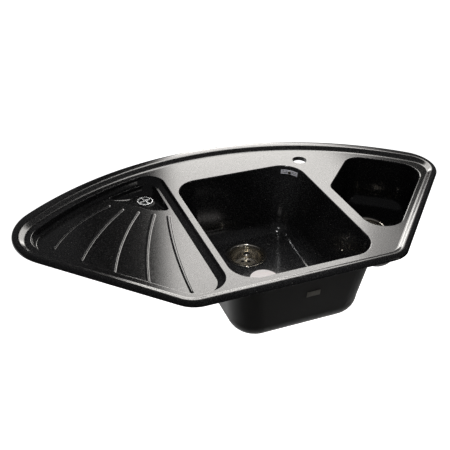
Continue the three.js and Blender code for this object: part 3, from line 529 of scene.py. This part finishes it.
def main_loop(inset, radius):
    at = MAIN_EDGES
    edges = [line(0, at["front"] + inset, 0), line(at["right"] - inset, 0, 90)]
    edges += [line(0, at["back"] - inset, 180), line(at["left"] + inset, 0, 270)]
    return loop_of(edges, [radius] * 4)


def half_loop(inset, radii):
    at = HALF_EDGES
    splay = line(0, at["splay"] - inset * math.sqrt(2), 225)
    edges = [end_edge(1, at["end"] + inset), back_edge(at["back"] + inset)]
    return loop_of([*edges, splay, line(at["left"] + inset, 0, 270)], radii)


# Opening and outline of the floor of each, then the top and the floor, or a bowl's foot radius and floor.
drainer_top = drainer_loop(0, 0, 0, 0, [46, 42, 60, 45])
drainer_foot = drainer_loop(10, 12, 5.5, 9, [42, 38, 56, 42])
drainer = (drainer_top, drainer_foot, DECK_TOP, DRAINER_FLOOR)
sump_top = sump_loop(0, 0, 0, 0, [22, 6, 60, 8])
sump_foot = sump_loop(12, 11, 30, 42, [18, 14, 40, 14])
sump = (sump_top, sump_foot, DRAINER_FLOOR, SUMP_FLOOR)
main_bowl = (main_loop(0, MAIN_RADIUS), main_loop(MAIN_TAPER, 52), 40, MAIN_FLOOR)
half_bowl = (half_loop(0, [55, 42, 30, 47]), half_loop(HALF_TAPER, [45, 34, 33, 38]), 32, HALF_FLOOR)
print("floors at", DRAINER_FLOOR, SUMP_FLOOR, HALF_FLOOR, MAIN_FLOOR)

# %% [markdown]
# ### Hollows and outsides
# Each recess has two skins. Its hollow is cut out of the casting, and its outside is the stone that carries
# it. Both run from the opening's loop to the foot's loop, so a taper and a change of corner radius come by
# themselves.

# %% Hollows and outsides
def quarter(steps, make):
    return [make(math.pi / 2 * k / steps) for k in range(steps + 1)]


def foot_levels(inset, floor, radius, steps=14):
    """(inset, height) down the quarter round at the foot of a wall."""
    return quarter(steps, lambda a: (inset + radius * (1 - math.cos(a)), floor + radius * (1 - math.sin(a))))


def rings(loop, levels):
    return [ring(loop, inset, z) for inset, z in levels]


def bowl_hollow(name, opening, foot, fillet, floor):
    lip = quarter(7, lambda a: (-LIP_RADIUS * (1 - math.sin(a)), DECK_TOP - LIP_RADIUS * (1 - math.cos(a))))
    above = [(lip[0][0], DECK_TOP + DECK_DROP)]
    walls = rings(blend(opening, foot, 1), foot_levels(0, floor, fillet))
    return skin(name, rings(opening, above + lip) + walls)


def bowl_outside(name, opening, foot, fillet, floor):
    above = rings(opening, [(-WALL, DECK_TOP - 1), (-WALL, DECK_TOP - WALL)])
    below = rings(blend(opening, foot, 1), foot_levels(-WALL, floor - BOWL_FLOOR_THICKNESS, fillet + WALL))
    return skin(name, above + below)


def shallow_hollow(name, opening, foot, top, floor, lip):
    """A shallow recess: a rounded lip, a wall that starts steep and a hollow curve into the floor."""
    fall = top - floor
    section = eased(
        [(0, top - lip), (0.28, floor + fall * 0.42), (1, floor), (1.2, floor)],
        [0, 0.5 * fall, 0.3 * fall, 0],
        steps=7,
        closed=False,
    )
    round_lip = quarter(6, lambda a: (-lip * (1 - math.sin(a)), top - lip * (1 - math.cos(a))))
    above = rings(opening, [(-lip, DECK_TOP + DECK_DROP)] + round_lip)
    return skin(name, above + [ring(blend(opening, foot, share), 0, z) for share, z in section[1:-1]])


def shallow_outside(name, opening, foot, top, floor):
    lower = rings(blend(opening, foot, 1), [(-WALL, floor - WALL)])
    return skin(name, rings(opening, [(-WALL, top - 1)]) + lower)


# The slope from the ridge down to the deck, with its two edges well rounded. It is drawn 17 mm wide and
# stretched between the two lines, to 17.5 mm at the back and 9 mm elsewhere.
SLOPE_WIDTH, FLAT = 17, 12
slope = eased(
    [(-FLAT, RIM_HEIGHT), (0, RIM_HEIGHT), (SLOPE_WIDTH, DECK_TOP), (SLOPE_WIDTH + FLAT, DECK_TOP)],
    [0, 4, 5, 0],
    steps=9,
    closed=False,
)
slope_rings = [ring(blend(ridge, deck, x / SLOPE_WIDTH), 0, z) for x, z in slope[1:-1]]
deck_pocket = skin("deck_pocket", [ring(ridge, 0, RIM_HEIGHT + 1)] + slope_rings)
print("slope points:", len(slope))

# %% [markdown]
# ### Ribs of the drainer
# Five ribs fan out from the sump. Each is a low round ridge that swells out of the floor, so that water
# runs along it and nothing sharp touches the crockery. Each is widest by the sump and tapers to its far
# end.

# %% Ribs that swell out of the drainer's floor
RIB_HEIGHT, RIB_WIDE, RIB_NARROW, RIB_FLARE = 1.7, 7, 4.4, 2.2
RIBS = [  # from, to and how far the curve bulges, in mm
    ((-284, 428), (-432.5, 299.5), 15),
    ((-259, 401.5), (-388, 239), 9),
    ((-229, 377.5), (-335, 177.5), 9),
    ((-197.5, 355), (-280, 125), 8),
    ((-168, 337), (-210.5, 64.5), 7),
]


def drainer_rib(start, end, bulge, steps=36, cap=10):
    a, c = Vector(start), Vector(end)
    along = (c - a).normalized()
    b = (a + c) / 2 + Vector((along.y, -along.x)) * 2 * bulge
    spine = [(a * (1 - t) ** 2 + b * 2 * t * (1 - t) + c * t * t, (b - a) * (1 - t) + (c - b) * t, t)
             for t in (k / steps for k in range(steps + 1))]

    def outline_at(trim, z):
        points = []
        for side in (1, -1):
            for point, tangent, t in spine if side == 1 else reversed(spine):
                half = (RIB_WIDE + (RIB_NARROW - RIB_WIDE) * t) / 2 - trim
                across = Vector((tangent.y, -tangent.x)).normalized() * side
                points.append(point + across * half)
            point, tangent, t = spine[-1] if side == 1 else spine[0]
            half = (RIB_NARROW if side == 1 else RIB_WIDE) / 2 - trim
            forward_way = tangent.normalized() * side
            across = Vector((tangent.y, -tangent.x)).normalized() * side
            for k in range(1, cap):
                turn = math.pi * k / cap
                points.append(point + across * half * math.cos(turn) + forward_way * half * math.sin(turn))
        return [(p.x, p.y, z) for p in points]

    top = DRAINER_FLOOR + RIB_HEIGHT
    section = eased(
        [(2.1, top), (1.1, top - 0.12), (-0.3, DRAINER_FLOOR + 0.4), (-RIB_FLARE, DRAINER_FLOOR - 0.02)],
        [0, 0.9, 1.2, 0], steps=5, closed=False,
    )
    levels = section + [(-RIB_FLARE, DRAINER_FLOOR - 1)]
    return skin("rib", [outline_at(trim, z) for trim, z in levels])


ribs = [drainer_rib(*rib) for rib in RIBS]
print(len(ribs), "ribs")

# %% [markdown]
# ### Casting
# The rim's skin is joined with the outsides, then the hollows are cut. The ribs come before the sump and
# the holes, so that their inner ends are cut off cleanly where the sump begins.

# %% Cast the moulding
def roll_ring(angle):
    """A ring of the rim's rounded outer side, from its crest at angle 0 to its edge."""
    height = RIM_EDGE_HEIGHT + (RIM_HEIGHT - RIM_EDGE_HEIGHT) * math.cos(angle)
    return ring(blend(outline, crest, 1 - math.sin(angle)), 0, height)


rim_roll = quarter(12, roll_ring)
sink = skin("sink_shell", rim_roll + rings(outline, [(0, RIM_RELIEF), (RIM_RELIEF, 0)]))
below_rim = [
    skin("deck_slab", rings(outline, [(REST_WIDTH, DECK_TOP + 1), (REST_WIDTH, DECK_TOP - WALL)])),
    shallow_outside("drainer_outside", *drainer),
    shallow_outside("sump_outside", *sump),
    bowl_outside("main_outside", *main_bowl),
    bowl_outside("half_outside", *half_bowl),
]
combine(sink, below_rim, "UNION")
hollows = [
    deck_pocket,
    shallow_hollow("drainer_hollow", *drainer, 2.2),
    bowl_hollow("main_hollow", *main_bowl),
    bowl_hollow("half_hollow", *half_bowl),
]
combine(sink, hollows)
combine(sink, ribs, "UNION")


def bore(name, place, radius, top, bottom, ease=0.8):
    """A round hole's core, with an eased upper edge."""
    profile = [(0, bottom - 1), (radius, bottom - 1), (radius, top - ease), (radius + ease, top)]
    profile += [(radius + ease, top + 1), (0, top + 1)]
    return turned(name, eased(profile, [0, 0, ease * 0.6, ease * 0.6, 0, 0]), (place[0], place[1], 0))


OVERFLOW_Z, DIAGONAL = RIM_HEIGHT - 20, math.radians(45)
SLOT_WIDTH, SLOT_HEIGHT = 34, 6
SLOT_FROM, SLOT_TO = MAIN_RADIUS - 15, MAIN_RADIUS + 25  # from the centre of the bowl's corner
main_corner = main_bowl[0][1]
corner_x, corner_y = main_corner["x"], main_corner["y"]
overflow_slot = mesh_object(
    "overflow_slot",
    [
        (x, side * SLOT_WIDTH / 2, level * SLOT_HEIGHT / 2)
        for level in (-1, 1)
        for x, side in ((SLOT_FROM, -1), (SLOT_TO, -1), (SLOT_TO, 1), (SLOT_FROM, 1))
    ],
    [(0, 1, 2, 3), (7, 6, 5, 4), (0, 4, 5, 1), (1, 5, 6, 2), (2, 6, 7, 3), (3, 7, 4, 0)],
)
to_corner = Matrix.Translation(Vector((corner_x, corner_y, OVERFLOW_Z)) * MM)
overflow_slot.data.transform(to_corner @ Matrix.Rotation(DIAGONAL, 4, "Z"))
holes = [
    shallow_hollow("sump_hollow", *sump, 1.2),
    overflow_slot,
    bore("tap_hole", TAP_HOLE, 17.5, DECK_TOP, DECK_TOP - WALL, 0.6),
    bore("sump_seat", SUMP_WASTE, 21, SUMP_FLOOR, SUMP_FLOOR, 0.3),
    bore("sump_bore", SUMP_WASTE, 15, SUMP_FLOOR - 1, SUMP_FLOOR - WALL, 0.3),
]
for name, place, floor in (("main", MAIN_WASTE, MAIN_FLOOR), ("half", HALF_WASTE, HALF_FLOOR)):
    seat = floor - WASTE_SEAT_DEPTH
    holes += [
        bore(name + "_seat", place, 52, floor, seat + 1, 0.8),
        bore(name + "_bore", place, 45, seat, floor - BOWL_FLOOR_THICKNESS, 0.3),
    ]
combine(sink, holes)
dress(sink, stone, "sink", "sink_moulding")

# %% [markdown]
# ### The back of the moulding
# Only the upper face copies the polished mould. The back is as cast: matt and slightly mottled. A face
# belongs to the back if there is stone straight above it.

# %% The matt back
stone_back = moulded(
    "unpolished_stone_back", [(0.3, "#1d1d1c"), (0.7, "#2f2f2d")], 2.5, (0.5, 0.62), 0.15, 1.5
)
shape = sink.data
shape.materials.append(stone_back)
corners = [vertex.co for vertex in shape.vertices]
cover = BVHTree.FromPolygons(corners, [tuple(face.vertices) for face in shape.polygons])
shape.calc_loop_triangles()
for part in shape.loop_triangles:
    if cover.ray_cast(part.center + part.normal * MM, Vector((0, 0, 1)))[0] is not None:
        shape.polygons[part.polygon_index].material_index = 1
print("faces of the back:", sum(face.material_index for face in shape.polygons))

# %% [markdown]
# ## Basket wastes
# A cup drawn from steel sheet hangs in each bowl's floor, with its flange over a rubber seal. In it stands
# a basket with slots and holes, on a post with a knob. A rubber stopper is fixed under the basket. Heights
# are measured from the seat that is sunk into the floor.

# %% Cup, basket and knob of each bowl
RIM_UNDER = 2.3
CUP_DEPTH, SHEET = 42, 1.2
CUP_FLOOR = SHEET - CUP_DEPTH
BASKET_FLOOR, BASKET_TOP = CUP_FLOOR + 7.3, CUP_FLOOR + 38.3
HOLE_RING = 22  # mm from the axis to the middle of each hole in a cup's or a basket's floor


def around(count, make):
    """Copies of a tool, turned about Z round its piece's axis: make(k, turn)."""
    return [make(k, 2 * math.pi * k / count) for k in range(count)]


def drills(count, place, radius, bottom, top, segments):
    """Upright drills for a ring of holes round a waste's axis."""

    def drill(k, turn):
        x, y = HOLE_RING * math.cos(turn), HOLE_RING * math.sin(turn)
        profile = [(0, bottom), (radius, bottom), (radius, top), (0, top)]
        return turned("drill", profile, (place[0] + x, place[1] + y, place[2]), segments)

    return around(count, drill)


def strainer_cup(name, place):
    profile = [
        (3.5, -CUP_DEPTH), (35, -CUP_DEPTH), (39, 4 - CUP_DEPTH), (42, 0),
        (44, RIM_UNDER), (50, RIM_UNDER - 0.1), (50, RIM_UNDER + SHEET), (43.6, RIM_UNDER + SHEET),
        (42.0 - SHEET, -0.5), (39 - SHEET, 4 - CUP_DEPTH), (35, CUP_FLOOR), (3.5, CUP_FLOOR),
    ]
    cup = turned(name, eased(profile, [0, 3, 3, 1.5, 1.5, 0.3, 0.7, 2.4, 2.0, 3, 3, 0], 5), place)

    return combine(cup, drills(6, place, 7, -CUP_DEPTH - 1, CUP_FLOOR + 1, 32))


def basket(name, place):
    sheet = SHEET - 0.2
    profile = [
        (3.5, BASKET_FLOOR), (34, BASKET_FLOOR), (39, BASKET_TOP), (39 - sheet, BASKET_TOP),
        (34 - sheet, BASKET_FLOOR + sheet), (3.5, BASKET_FLOOR + sheet),
    ]
    made = turned(name, eased(profile, [0, 5, 0.45, 0.45, 4.5, 0], 5), place)

    def slot(k, turn):
        middle = (BASKET_FLOOR + BASKET_TOP) / 2
        ends = [(side, math.pi * (k / 6 + (side < 0))) for side in (1, -1) for k in range(7)]
        path = [(2 * math.cos(a), 5 * side + 2 * math.sin(a)) for side, a in ends]
        turn += math.radians(18)
        out = Vector((math.cos(turn), math.sin(turn), 0))
        along = Vector((-math.sin(turn), math.cos(turn), 0))
        centre = Vector(place) + Vector((0, 0, middle))
        points = [
            tuple(centre + out * reach + along * u + Vector((0, 0, v))) for reach in (30, 43) for u, v in path
        ]
        n = len(path)
        faces = [tuple(range(n)), tuple(reversed(range(n, 2 * n)))]
        faces += [(k + n, (k + 1) % n + n, (k + 1) % n, k) for k in range(n)]
        return mesh_object("slot", points, faces)

    return combine(made, drills(8, place, 4, BASKET_FLOOR - 1, BASKET_FLOOR + 2, 24) + around(10, slot))


def basket_knob(name, place):
    top = RIM_UNDER + SHEET + 4
    foot = top - 8
    profile = [
        (0, CUP_FLOOR + 4.6), (8, CUP_FLOOR + 4.6), (8, BASKET_FLOOR - 0.3), (3, BASKET_FLOOR - 0.3),
        (3, BASKET_FLOOR + 1.3), (6, BASKET_FLOOR + 1.3), (6, BASKET_FLOOR + 3), (3, BASKET_FLOOR + 5),
        (3, foot - 2), (6, foot), (9, foot + 3), (8, top - 1.2), (5, top), (0, top),
    ]
    rounds = [0, 0.6, 0.6, 0, 0, 0.5, 0.8, 1.2, 1, 1.4, 1.6, 1.8, 2, 0]
    return turned(name, eased(profile, rounds, 5), place, 64)


for name, place, floor in (("main", MAIN_WASTE, MAIN_FLOOR), ("half", HALF_WASTE, HALF_FLOOR)):
    seat = (*place, floor - WASTE_SEAT_DEPTH)
    body = name + "_basket_set"
    dress(strainer_cup(name + "_cup_shell", seat), steel, "sink", name + "_strainer_cup")
    dress(basket(name + "_basket_shell", seat), steel, body, name + "_basket")
    dress(basket_knob(name + "_knob_turned", seat), steel, body, name + "_basket_knob")

# %% [markdown]
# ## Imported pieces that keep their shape
# Seals, screws, plastic bodies and hoses have the right shape already. They take a real material instead of
# their flat colour.

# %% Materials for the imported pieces
WASTE_PIECES = ("strainer_cup", "basket", "basket_knob")
replaced = {"sink_moulding"} | {kit + piece for kit in ("main_", "half_") for piece in WASTE_PIECES}


def finish_of(node):
    """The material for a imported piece, by what it is made of."""
    if "label" in node:
        return paper
    if "plate" in node:
        return filmed_steel if "overflow" in node else foil
    if any(word in node for word in ("seal", "gasket", "stopper", "washer")):
        return rubber
    if "hose" in node or "duct" in node:
        return grey_plastic
    if "waste_body" in node or "nut" in node:
        return white_plastic
    return chrome if "grid" in node else steel


for name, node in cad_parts.items():
    if name not in replaced:
        for slot in node.material_slots:
            slot.material = finish_of(name)
print("packed pieces kept:", len(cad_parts) - len(replaced))

# %% [markdown]
# ## Studio
# The sink floats over a pale floor, as in a catalogue, in a dark room. Its satin deck mirrors a large soft
# box behind it, so it shines where the box lies behind it and goes black to the left, past the box's edge.
# Hollows and walls that face away mirror the dark room and stay black. Each light panel is a plane that
# glows and fades towards its edges, like the cloth of a real box.

# %% Panels that glow
LAMP_WHITE = linear("#fffcf8")


def fading(tree, value, stops):
    """A brightness that follows value through (value, brightness) stops."""
    low, high = stops[0][0], stops[-1][0]
    share = add(tree, "ShaderNodeMapRange", {"Value": value, 1: low, 2: high, 3: 0.0, 4: 1.0})
    fade = add(tree, "ShaderNodeValToRGB", {"Fac": share.outputs["Result"]})
    fade.color_ramp.interpolation = "EASE"
    elements = fade.color_ramp.elements
    while len(elements) < len(stops):
        elements.new(1.0)
    for element, (position, level_of) in zip(elements, stops):
        element.position = (position - low) / (high - low)
        element.color = (level_of, level_of, level_of, 1)
    return fade.outputs["Color"]


def times(tree, *values):
    """The product of brightnesses."""
    result = values[0]
    for value in values[1:]:
        result = add(tree, "ShaderNodeMath", {0: result, 1: value}, operation="MULTIPLY").outputs["Value"]
    return result


def standing(name, left, right, bottom, top):
    """An upright panel between two places in the plan."""
    corners = [(*left, bottom), (*right, bottom), (*right, top), (*left, top)]
    return mesh_object(name, corners, [(0, 1, 2, 3)])


def lamp_face(panel, brightness_of):
    """Makes a panel glow. brightness_of(tree, axes) makes its radiance from its place in metres."""
    light, tree, shader, place = new_material(panel.name + "_light")
    axes = add(tree, "ShaderNodeSeparateXYZ", {0: place}).outputs
    glow = {"Color": LAMP_WHITE, "Strength": brightness_of(tree, axes)}
    lamp = add(tree, "ShaderNodeEmission", glow)
    tree.links.new(lamp.outputs["Emission"], tree.nodes["Material Output"].inputs["Surface"])
    tree.nodes.remove(shader)
    panel.data.materials.append(light)
    return panel


print("lamp colour in linear light:", [round(c, 3) for c in LAMP_WHITE])

# %% [markdown]
# ### The soft box
# The box is brightest low down, where the rim mirrors it at the back, at the right end and in front of the
# drainer. Most of the deck mirrors its upper part, which is a little over half as bright. It fades out at
# its lower right corner, so that the deck stays grey behind the half bowl and at the right end.

# %% The soft box behind the sink
BOX_X, BOX_Y, BOX_Z = (-100, 2100), 2000, (200, 2150)  # mm
BOX_RADIANCE = 12  # of the floor's white
# Pairs of a place in metres and the brightness there: across by x, upward by z.
BOX_ACROSS = [(0.26, 0), (0.42, 1), (1.5, 1), (1.66, 0.42), (1.9, 0.35), (2.1, 0)]
BOX_UPWARD = [(0.2, 0), (0.35, 1), (0.62, 1), (0.8, 0.52), (1.7, 0.7), (2.15, 0)]
BOX_SLANT = 0.9
BOX_CORNER = [(0.42, 1), (0.6, 0.15), (0.8, 0.03)]  # (x - BOX_SLANT * z, brightness)


def box_brightness(tree, axes):
    sideways = fading(tree, axes["X"], BOX_ACROSS)
    upward = fading(tree, axes["Z"], BOX_UPWARD)
    terms = {0: axes["Z"], 1: -BOX_SLANT, 2: axes["X"]}
    slanted = add(tree, "ShaderNodeMath", terms, operation="MULTIPLY_ADD")
    corner = fading(tree, slanted.outputs["Value"], BOX_CORNER)
    return times(tree, sideways, upward, corner, BOX_RADIANCE)


soft_box = standing("soft_box", (BOX_X[0], BOX_Y), (BOX_X[1], BOX_Y), *BOX_Z)
lamp_face(soft_box, box_brightness)
print("soft box:", [round(size, 2) for size in soft_box.dimensions], "m")

# %% [markdown]
# ### Card, strip and spots
# A black card keeps the floor's light off the bowl's outer right corner, and a little off the right end. A
# tall, narrow strip to the front right draws faint streaks on the drainer's back wall by the sump, and lifts
# the bowl's outer front wall a little. Two spots with narrow cones light the label on the bowl's floor and
# the plate in its corner. Both light the stone there too, so the floor is dark grey and the far corner has
# a faint gleam.

# %% Black card, side strip and two spots
STRIP_RADIANCE = 3
STRIP_UPWARD = [(-0.95, 0), (-0.7, 1), (1.3, 1), (1.5, 0)]  # (z in metres, brightness)

card = standing("black_card", (700, -300), (1300, 600), -990, 300)
felt = moulded("black_felt", [(0.3, "#060606"), (0.7, "#0a0a0a")], 3.0, (0.9, 1.0), 0.1, 1.3)
card.data.materials.append(felt)

lamp_face(
    standing("side_strip", (1220.8, -1057.2), (1279.2, -1002.8), -950, 1500),
    lambda tree, axes: times(tree, fading(tree, axes["Z"], STRIP_UPWARD), STRIP_RADIANCE),
)


def snoot(name, place, target, energy, cone):
    """A narrow spot lamp from one place to another, both in millimetres. The cone is in degrees."""
    lamp = bpy.data.lights.new(name, "SPOT")
    lamp.energy = energy
    lamp.spot_size = math.radians(cone)
    lamp.spot_blend = 0.8
    lamp.shadow_soft_size = 0.08
    made = bpy.data.objects.new(name, lamp)
    aim = Vector(target) - Vector(place)
    turn = aim.to_track_quat("-Z", "Y").to_matrix().to_4x4()
    made.matrix_world = Matrix.Translation(Vector(place) * MM) @ turn
    bpy.context.scene.collection.objects.link(made)


snoot("floor_snoot", (20, 200, 2000), (20, 200, 0), 115, 13)
snoot("plate_snoot", (-300, -100, 1200), (183, 431, -10), 75, 5.5)
print("lamps:", sorted(lamp.name for lamp in bpy.data.lights))

# %% [markdown]
# ### Floor and room
# The floor lies far below, so no shadow of the sink shows. It glows white only behind the sink, where the
# picture shows it. In front it is a plain grey, so that the bowl's front isn't lit from below. The room's
# dim grey light fills the hollows a little.

# %% Floor and room
FLOOR_Z, FLOOR_REACH = -1000, 9000  # mm
FLOOR_GLOW = 1.35
GLOW_BEHIND = [(0.0, 0), (0.34, 1), (6.0, 1)]  # (metres along the camera's heading, brightness)
PALE_BEHIND = [(-0.3, 0.03), (0.1, 1)]
WEAVE = 250  # mm, soft clouds in the paper's white

white_floor, tree, shader, place = new_material("pale_floor")
weave = add(tree, "ShaderNodeTexNoise", {"Vector": place, "Scale": 1 / (WEAVE * MM), "Detail": 2.0})
tone = ramp(
    add(tree, "ShaderNodeValToRGB", {"Fac": weave.outputs["Fac"]}), [(0.3, "#e9e9e9"), (0.7, "#eeeeee")]
)
heading = add(
    tree, "ShaderNodeVectorMath", {0: place, 1: (forward.x, forward.y, 0)}, operation="DOT_PRODUCT"
).outputs["Value"]
laid = add(
    tree,
    "ShaderNodeMix",
    {"Factor": fading(tree, heading, PALE_BEHIND), 6: linear("#9a9a9a"), 7: tone.outputs["Color"]},
    data_type="RGBA",
)
tree.links.new(laid.outputs[2], shader.inputs["Base Color"])
tree.links.new(tone.outputs["Color"], shader.inputs["Emission Color"])
glow = times(tree, fading(tree, heading, GLOW_BEHIND), FLOOR_GLOW)
tree.links.new(glow, shader.inputs["Emission Strength"])
shader.inputs["Roughness"].default_value = 0.9

sides = ((-1, -1), (1, -1), (1, 1), (-1, 1))
floor = mesh_object("floor", [(x * FLOOR_REACH, y * FLOOR_REACH, FLOOR_Z) for x, y in sides], [(0, 1, 2, 3)])
floor.data.materials.append(white_floor)

world = bpy.data.worlds.new("studio")
world.use_nodes = True
background = world.node_tree.nodes["Background"]
background.inputs["Color"].default_value = linear("#8e8e90")
background.inputs["Strength"].default_value = 0.35
bpy.context.scene.world = world
bpy.context.scene.view_settings.view_transform = "Standard"
bpy.context.scene.view_settings.look = "None"
print("staged:", soft_box.name, card.name, floor.name)
